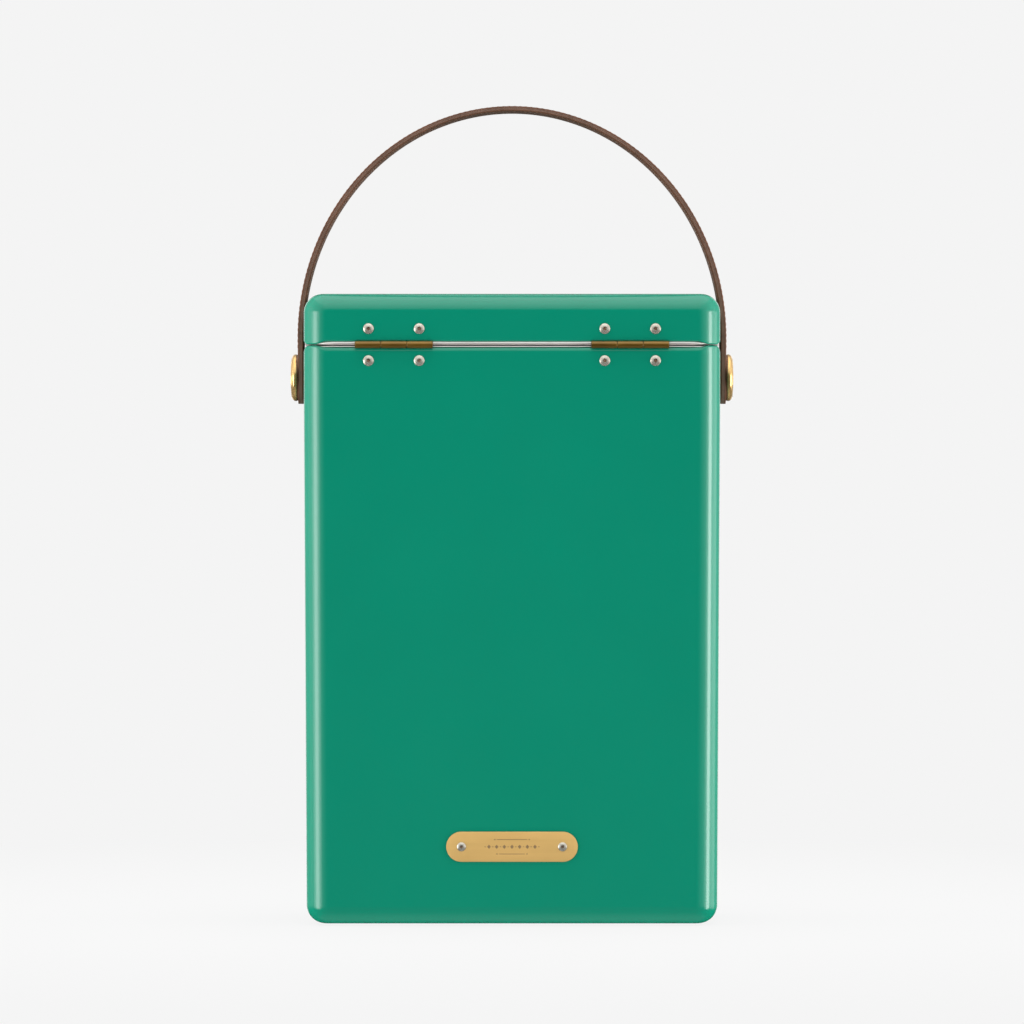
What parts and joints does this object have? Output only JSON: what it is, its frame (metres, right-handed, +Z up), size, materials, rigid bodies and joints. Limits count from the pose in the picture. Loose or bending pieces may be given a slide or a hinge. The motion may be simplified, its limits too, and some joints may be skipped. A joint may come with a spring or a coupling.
{
  "type": "drinks cooler box",
  "caption": "Slim insulated steel drinks box with rounded edges, rear-hinged lid, stainless tub, leather carrying strap on side studs and a hasp with a turn knob.",
  "frame": {"origin": "on the floor under the middle of the whole object's box; the box's own middle plane is 3.175 mm behind it, because the latch stands further out than the hinges", "axes": "+Z up, -Y the front with the latch, +Y the back with the hinges and nameplate, X side to side along the hinge axis"},
  "size_m": [0.2874, 0.1326, 0.5272],
  "materials": {
    "green_paint": "gloss enamel, jade green",
    "stainless": "bright brushed",
    "brass": "satin, polished on the studs",
    "rivet_metal": "bright",
    "leather": "waxed bridle leather with burnished edges",
    "rubber": "matt black",
    "foam": "rigid foam, never seen"
  },
  "bodies": {
    "box": {"body_shell": "green_paint", "body_liner": "stainless", "body_insulation": "foam", "rubber_feet": "rubber", "nameplate": "brass", "nameplate_rivets": "rivet_metal", "hinge_body_leaf_left": "brass", "hinge_body_leaf_right": "brass", "hinge_pin_left": "brass", "hinge_pin_right": "brass", "body_hinge_rivets": "rivet_metal", "strap_post_left": "brass", "strap_post_right": "brass", "spacer_washer_left": "brass", "spacer_washer_right": "brass", "stud_cap_left": "brass", "stud_cap_right": "brass", "backing_plate_left": "stainless", "backing_plate_right": "stainless", "post_nut_left": "stainless", "post_nut_right": "stainless", "hasp_base": "brass", "hasp_base_rivets": "rivet_metal", "hasp_pin": "brass"},
    "lid": {"lid_shell": "green_paint", "lid_liner": "stainless", "lid_insulation": "foam", "lid_gasket": "rubber", "hinge_lid_leaf_left": "brass", "hinge_lid_leaf_right": "brass", "lid_hinge_rivets": "rivet_metal", "turn_plate": "brass", "turn_plate_rivets": "rivet_metal"},
    "handle": {"strap_outer": "leather", "strap_lining": "leather", "strap_eyelet_left": "brass", "strap_eyelet_right": "brass"},
    "hasp": {"hasp_flap": "brass"},
    "knob": {"turn_knob": "brass"}
  },
  "joints": [
    {"name": "lid_hinge", "type": "hinge", "parent": "box", "child": "lid", "pos_m": [0, 0.06398, 0.3715], "axis": [-1, 0, 0], "range_deg": [0, 170]},
    {"name": "handle_swing", "type": "hinge", "parent": "box", "child": "handle", "pos_m": [0, 0.00317, 0.3518], "axis": [1, 0, 0], "range_deg": [-90, 90], "deforming": ["strap_outer", "strap_lining"]},
    {"name": "hasp_hinge", "type": "hinge", "parent": "box", "child": "hasp", "pos_m": [0, -0.05953, 0.3585], "axis": [-1, 0, 0], "range_deg": [0, 180]},
    {"name": "knob_turn", "type": "hinge", "parent": "lid", "child": "knob", "pos_m": [0, -0.0608, 0.384], "axis": [0, -1, 0], "range_deg": [0, 90]}
  ]
}
